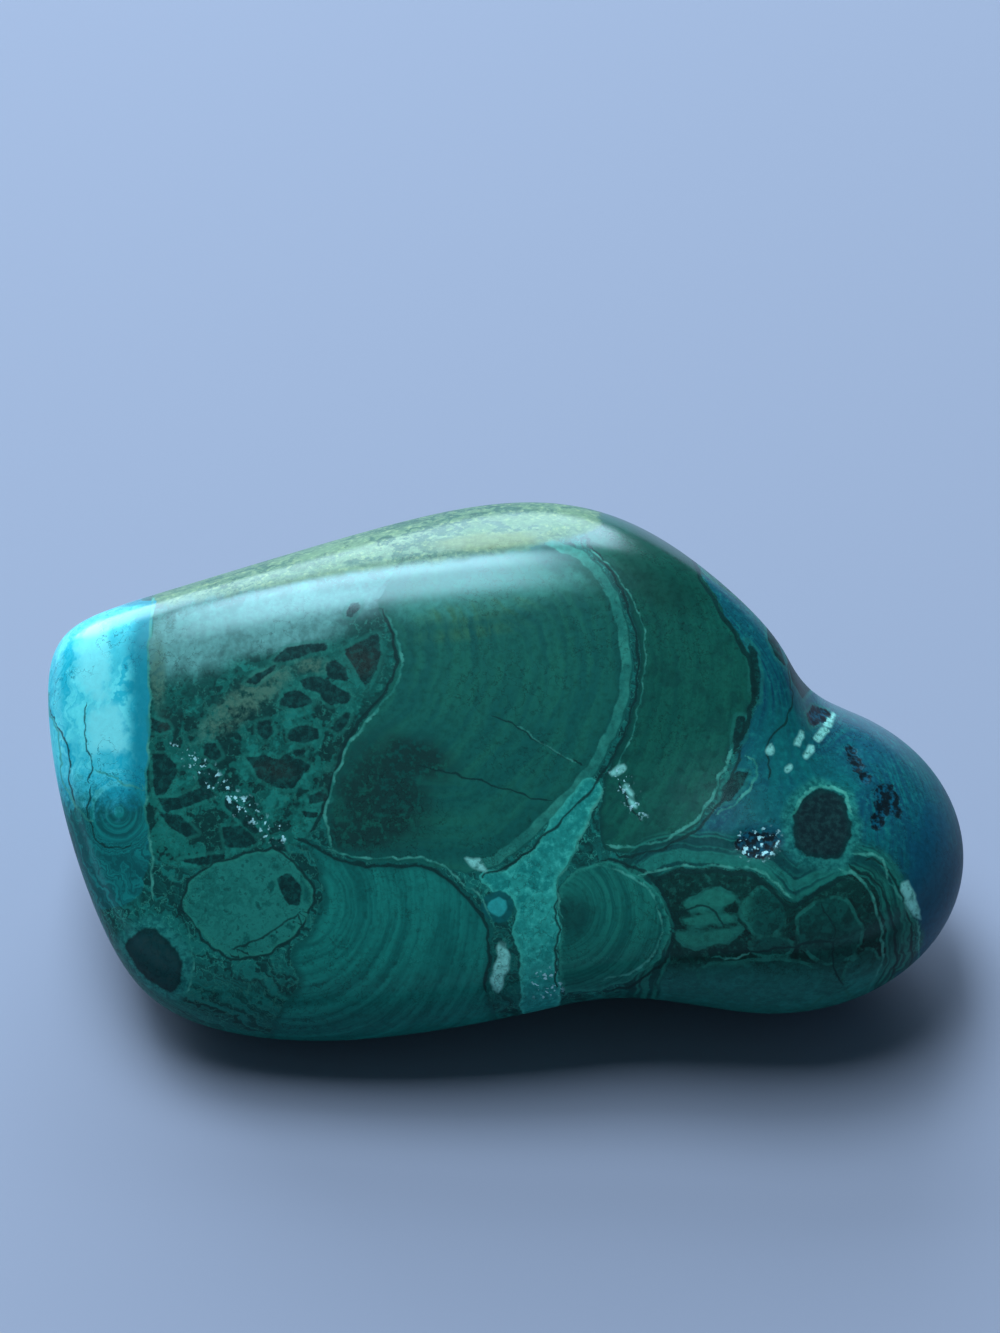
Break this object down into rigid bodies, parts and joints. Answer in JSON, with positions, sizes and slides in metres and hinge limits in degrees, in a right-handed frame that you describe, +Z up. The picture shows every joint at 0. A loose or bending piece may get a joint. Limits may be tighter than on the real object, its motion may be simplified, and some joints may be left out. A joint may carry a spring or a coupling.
{
  "type": "polished chrysocolla stone",
  "caption": "Tumbled and polished chrysocolla stone with banded malachite nodules: a blocky rounded body that runs into a lower rounded tail, lying on a flat underside.",
  "frame": {"origin": "under the middle of the stone's box, on the plane of its flat underside", "axes": "+X along the stone's length towards its lower tail, +Y away from the viewer of the picture, +Z up"},
  "size_m": [0.046, 0.0254, 0.0212],
  "materials": {
    "polished_stone": "polished"
  },
  "bodies": {
    "root": {"stone": "polished_stone"}
  },
  "joints": []
}
